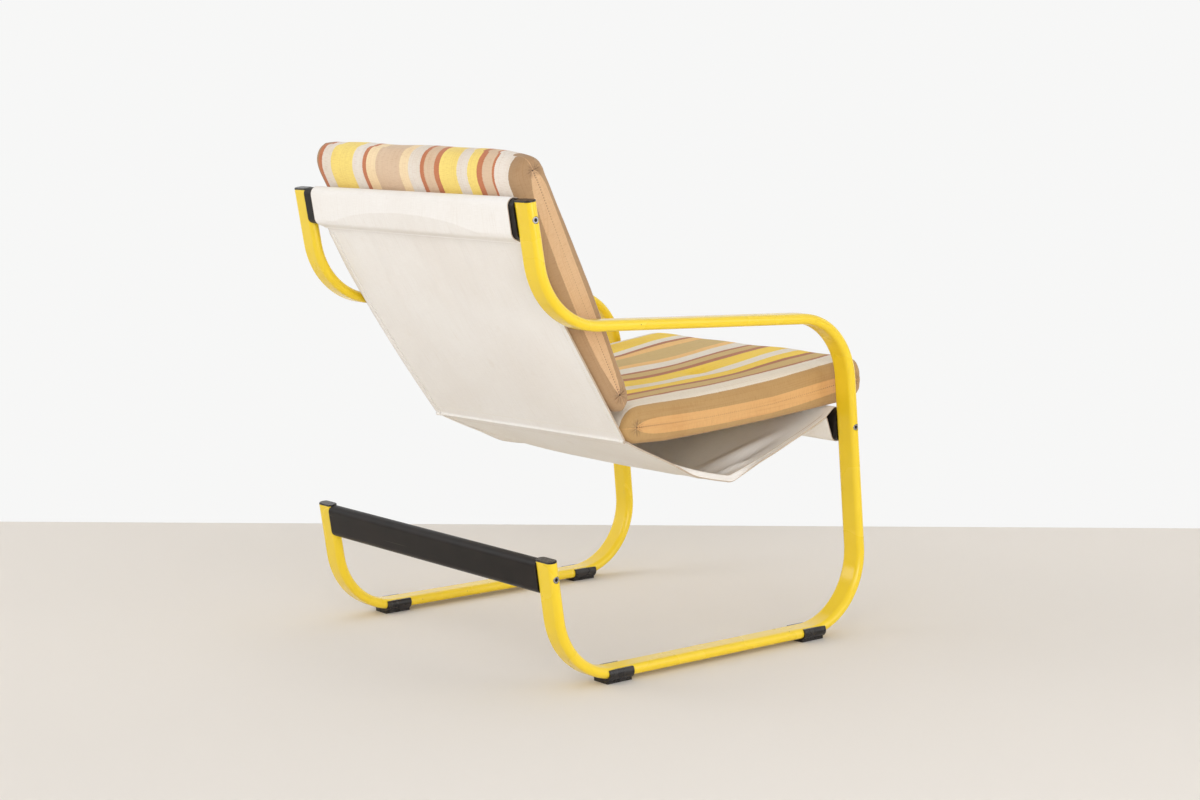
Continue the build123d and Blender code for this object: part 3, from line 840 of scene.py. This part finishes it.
def makeCushion(name, form, frameAt, finish):
    c = cushions
    length = form["length"]
    target, places, above, below = cushionRings(form, frameAt, 0.0)
    start = cushionRings(form, frameAt, c["start"])[0]
    rows, columns = target.shape[:2]
    half = above.shape[1]
    index = np.arange(rows * columns).reshape(rows, columns)
    after = np.roll(index, -1, axis=1)
    faces = np.stack([index[:-1], index[1:], after[1:], after[:-1]], axis=-1)
    steps = np.linalg.norm(np.diff(target[:, half // 2], axis=0), axis=1)
    along = np.concatenate([[0], np.cumsum(steps)])
    mesh = bpy.data.meshes.new(name)
    mesh.from_pydata((start.reshape(-1, 3) / 1000).tolist(), [], faces.reshape(-1, 4).tolist())
    flat = []  # the cover's cut cloth: across from its middle line, and along
    wider = 1 + form["tuck"] * (1 - smooth(places, 250, 340))  # the tan shows all down the side
    hidden = below * wider[:, None]
    for row in range(rows - 1):
        for column in range(columns):
            onTop = column < half - 1
            arc = above if onTop else hidden
            one, two = (column, column + 1) if onTop else (2 * half - 2 - column, 2 * half - 3 - column)
            shift = 0 if onTop else 1000
            for r, k in ((row, one), (row + 1, one), (row + 1, two), (row, two)):
                flat.append((arc[r, k], along[r] + shift))
    mesh.uv_layers.new(name="cloth").data.foreach_set("uv", (np.array(flat) / 1000).reshape(-1))
    overSeam, underSeam = above[:, :1] - np.abs(above), np.abs(below) - below[:, :1]
    fromSeam = np.concatenate([overSeam, underSeam[:, ::-1][:, 1:-1]], axis=1)
    lift = np.concatenate([np.ones(half), -np.ones(columns - half)])
    lift[[0, half - 1]] = 0
    bag = bpy.data.objects.new(name, mesh)
    bpy.context.collection.objects.link(bag)
    values = {
        "fromSeam": fromSeam,
        "place": np.repeat(places[:, None], columns, axis=1),
        "upper": np.repeat(lift[None], rows, axis=0),
        "wantX": target[..., 0], "wantY": target[..., 1], "wantZ": target[..., 2],
    }
    for key, value in values.items():
        mesh.attributes.new(key, "FLOAT", "POINT").data.foreach_set("value", value.reshape(-1))
    work = bmesh.new()
    work.from_mesh(mesh)
    work.verts.ensure_lookup_table()
    joined = {}
    for row in (0, rows - 1):  # the flat ends are zipped up
        for k in range(1, half - 1):
            joined[work.verts[index[row, columns - k]]] = work.verts[index[row, k]]
    bmesh.ops.weld_verts(work, targetmap=joined)
    bmesh.ops.recalc_face_normals(work, faces=work.faces)
    work.to_mesh(mesh)
    work.free()
    want = np.stack([pointValues(mesh, key) for key in ("wantX", "wantY", "wantZ")], axis=1)
    reach, upper, place = [pointValues(mesh, key) for key in ("fromSeam", "upper", "place")]
    group = bag.vertex_groups.new(name="seam")
    for k in np.nonzero((np.abs(reach) < 7) & (place > 20) & (place < length - 20))[0]:
        group.add([int(k)], 1.0, "REPLACE")
    caps = np.where(upper > 0, *c["caps"])
    inflate(bag, want, caps)
    bag.vertex_groups.clear()
    onlyThis(bag)
    finer = bag.modifiers.new("finer", "SUBSURF")
    finer.levels = finer.render_levels = 1
    bpy.ops.object.modifier_apply(modifier="finer")
    finish(bag, form)
    above, below, foot, head = form["band"]
    reach, place = pointValues(mesh, "fromSeam"), pointValues(mesh, "place")
    narrow = 1.001 - np.exp(-np.maximum(place - c["seamEnd"] + 3, 0) / foot)
    narrow *= 1.001 - np.exp(-np.maximum(length - c["seamEnd"] + 3 - place, 0) / head)
    band = np.where(reach > 0, reach / above, -reach / below) / narrow
    mesh.attributes.new("band", "FLOAT", "POINT").data.foreach_set("value", np.minimum(band, 9))
    fromEnd = np.minimum(place, length - place) - c["seamEnd"]
    mesh.attributes.new("fromEnd", "FLOAT", "POINT").data.foreach_set("value", fromEnd)
    for key in values:
        if key != "fromSeam":
            mesh.attributes.remove(mesh.attributes[key])
    mesh.polygons.foreach_set("use_smooth", [True] * len(mesh.polygons))
    return bag


def sewSides(bag, form):  # seam valleys, puckers and boxed corners
    mesh = bag.data
    c = cushions
    length, end = form["length"], c["seamEnd"]
    reach, upper, place = [pointValues(mesh, key) for key in ("fromSeam", "upper", "place")]
    spots = np.zeros(len(mesh.vertices) * 3)
    mesh.vertices.foreach_get("co", spots)
    spots = spots.reshape(-1, 3)
    normals = np.zeros(len(mesh.vertices) * 3)
    mesh.vertices.foreach_get("normal", normals)
    normals = normals.reshape(-1, 3)
    near = np.minimum(place, length - place)
    side = np.sign(spots[:, 0])
    seam = smooth(near, end - 4, end + 4)
    valley = c["valley"] * np.exp(-(reach / 2.6) ** 2) * seam
    wander = 1.3 * np.sin(place / 31 + side) + 0.9 * np.sin(place / 13 + 2 * side)
    gathers = np.sin(place / 2.15 + wander) * np.exp(-((np.abs(reach) - 5) / 6.0) ** 2)
    corner = np.exp(-((near - end) / 2.4) ** 2) * np.exp(-(reach / 11) ** 4) * c["boxSeam"]
    out = np.hypot(near - end, reach)
    turn = np.arctan2(reach, near - end)
    star = c["star"] * np.cos(9 * turn + side) * np.exp(-out / 16) * smooth(out, 1.5, 6)
    depth = valley + c["gathers"] * gathers * seam + corner + star
    spots -= normals * (depth / 1000)[:, None]
    mesh.vertices.foreach_set("co", spots.reshape(-1))
    return spots * 1000, normals, reach, upper, place


def finishSeat(bag, form):
    spots, normals, reach, upper, _ = sewSides(bag, form)
    x, y = spots[:, 0], spots[:, 1]
    top = (upper > 0) * smooth(reach, 30, 60)
    hollow = cushions["dent"]
    (dentX, dentY), (wide, long) = hollow["place"], hollow["size"]
    dent = hollow["depth"] * np.exp(-((x - dentX) / wide) ** 2 - ((y - dentY) / long) ** 2)
    waves = 1.2 * np.sin(x / 41 + 0.7) * np.sin(y / 57) + 0.7 * np.sin(x / 23 + y / 33)
    spots -= normals * ((dent + waves) * top)[:, None]
    bag.data.vertices.foreach_set("co", (spots / 1000).reshape(-1))


def finishBack(bag, form):
    spots, normals, reach, upper, place = sewSides(bag, form)
    x = spots[:, 0]
    top = (upper > 0) * smooth(reach, 30, 60)
    waves = 1.1 * np.sin(x / 47 + 0.3) * np.sin(place / 61) + 0.6 * np.sin(x / 25 + place / 37)
    spots -= normals * (waves * top)[:, None]
    tilt = math.radians(form["tilt"])
    slump = cushions["slump"] * smooth(-x, 190, 250) * smooth(place, form["length"] - 60, form["length"])
    spots[:, 1] -= slump * math.sin(tilt)
    spots[:, 2] -= slump * math.cos(tilt)
    bag.data.vertices.foreach_set("co", (spots / 1000).reshape(-1))


stripes = (  # where each begins, in millimetres from the middle, and its yarn
    (-300, "sideTan"),
    (-240, "white"),
    (-205, "rust"),
    (-198, "tan"),
    (-173, "rust"),
    (-160, "yellow"),
    (-135.5, "white"),
    (-110, "yellow"),
    (-66, "rust"),
    (-51.5, "tan"),
    (-26.5, "rust"),
    (-17, "white"),
    (14.5, "cream"),
    (37.5, "tan"),
    (96.5, "cream"),
    (121.5, "rust"),
    (131.5, "white"),
    (156, "yellow"),
    (214.5, "white"),
    (236.5, "rust"),
    (246.5, "sideTan"),
)
# both tables are one cloth: the back's yarns are set paler than the seat's, partly for sun-faded cloth and
# partly as painted light on the back's lit face; sideTan is set darker than the lit tan, as painted shade on
# the cushions' sides
yarns = {
    "seat": {
        "peach": (219, 171, 112),
        "sideTan": (184, 148, 97),
        "white": (230, 222, 208),
        "rust": (176, 110, 72),
        "tan": (204, 174, 110),
        "yellow": (244, 208, 62),
        "cream": (236, 190, 116),
    },
    "back": {
        "peach": (215, 178, 137),
        "sideTan": (174, 141, 105),
        "white": (236, 227, 216),
        "rust": (200, 124, 84),
        "tan": (224, 196, 166),
        "yellow": (250, 224, 124),
        "cream": (248, 224, 182),
    },
}
drifts = {  # places from the middle, and how far the stripes there are moved, in millimetres
    "seat": ((-240, 240), (0, 0)),
    "back": ((-240, -200, -167, -60, 0, 67, 241), (13, 6, -0.5, -11, -17, -21, -23)),
}


def stripedCotton(name, colors, drift):  # drift: how the stripes are moved on this cushion
    shade = Shade(name, Roughness=0.92, Sheen_Weight=0.12, Sheen_Roughness=0.5)
    surface = shade.node("UVMap", {"uv_map": "cloth"})
    split = shade.node("SeparateXYZ", values={0: surface})
    picks = shade.noise(1.0, 2.0, surface, (90, 1400, 1))  # crosswise yarns
    ends = shade.noise(1.0, 2.0, surface, (1400, 90, 1))
    wander = shade.noise(1.0, 1.0, surface, (3, 700, 1))
    place = (split + (wander - 0.5) * 0.0016 + 0.3) / 0.6
    stops = []
    for where, yarn in stripes:
        moved = where + float(np.interp(where, *drift))
        stops.append((max(moved + 300, 0) / 600, toned(*colors[yarn])))
    color = shade.node("ValToRGB", {"stops": stops, "interpolation": "CONSTANT"}, {0: place})
    band = shade.node("Attribute", {"attribute_name": "band"}, output="Fac")
    inBand = shade.step(band + (wander - 0.5) * 0.12, 0.97, 1.03, 1.0, 0.0)
    color = shade.mix(inBand, color, toned(*colors["peach"]))
    lengthwise = shade.noise(1.0, 1.0, surface, (520, 5, 1))
    color = shade.mix(shade.step(lengthwise, 0.5, 0.7, 0.0, 0.16), color, toned(206, 158, 118), "MULTIPLY")
    crosswise = shade.step(picks, 0.5, 0.68, 0.0, 0.3)
    color = shade.mix(crosswise, color, toned(208, 178, 150), "MULTIPLY")
    soiled = shade.noise(11.0, 4.0)
    color = shade.mix(shade.step(soiled, 0.5, 0.8, 0.0, 0.25), color, toned(222, 196, 152), "MULTIPLY")
    seam = shade.node("Attribute", {"attribute_name": "fromSeam"}, output="Fac")
    end = shade.node("Attribute", {"attribute_name": "fromEnd"}, output="Fac")
    aside = seam.math("ABSOLUTE", seam, 0.0)
    dashes = (end * 1.5).math("SINE", end * 1.5, 0.0)
    strong = shade.step(end, 10.0, 120.0, 0.75, 0.25)
    # partly painted shade: dark dashes along the side seam, strongest near the boxed corners, stand for the
    # seam's stitches and for the shade in its groove
    sewn = shade.step(aside, 0.5, 1.2, 1.0, 0.0) * shade.step(dashes, -0.2, 0.2)
    sewn = sewn * strong * shade.step(end, -1.0, 0.0)
    color = shade.mix(sewn, color, toned(116, 66, 40))
    out = (end * end + seam * seam) ** 0.5
    turn = seam.math("ARCTAN2", seam, end)
    # painted shade: round each boxed corner the radiating puckers are darkened and the very middle goes
    # near-black, for the shade in the folds and in the pucker's hole
    rays = (turn * 12.0 + wander * 5.0).math("SINE", turn * 12.0 + wander * 5.0, 0.0)
    near = shade.step(out, 1.5, 4.0) * shade.step(out, 5.0, 17.0, 1.0, 0.0)
    color = shade.mix(shade.step(rays, -0.1, 0.9, 0.0, 0.32) * near, color, toned(120, 78, 48), "MULTIPLY")
    color = shade.mix(shade.step(out, 0.9, 2.2, 0.85, 0.0), color, toned(52, 30, 20))
    fromCorner = end.math("ABSOLUTE", end, 0.0)
    # painted shade: the line across each boxed corner is darkened, for the shade in its groove
    ridge = shade.step(aside, 9.0, 14.0, 1.0, 0.0) * shade.step(fromCorner, 0.4, 1.3, 0.4, 0.0)
    color = shade.mix(ridge, color, toned(120, 76, 46), "MULTIPLY")
    weave = shade.bump(picks + ends, 0.0004, 0.45)
    shade.feed(Base_Color=color, Normal=shade.bump(rays * near, 0.0007, 0.6, weave))
    return shade.material


for name, frameAt, finish in (("seat", seatFrame, finishSeat), ("back", backFrame, finishBack)):
    bag = makeCushion(name + "Cushion", cushions[name], frameAt, finish)
    bag.data.materials.append(stripedCotton(name + "Cotton", yarns[name], drifts[name]))
    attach(bag, "root")
    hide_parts(name + "_cushion_cover", name + "_cushion_foam")
    print(name, "cushion made")
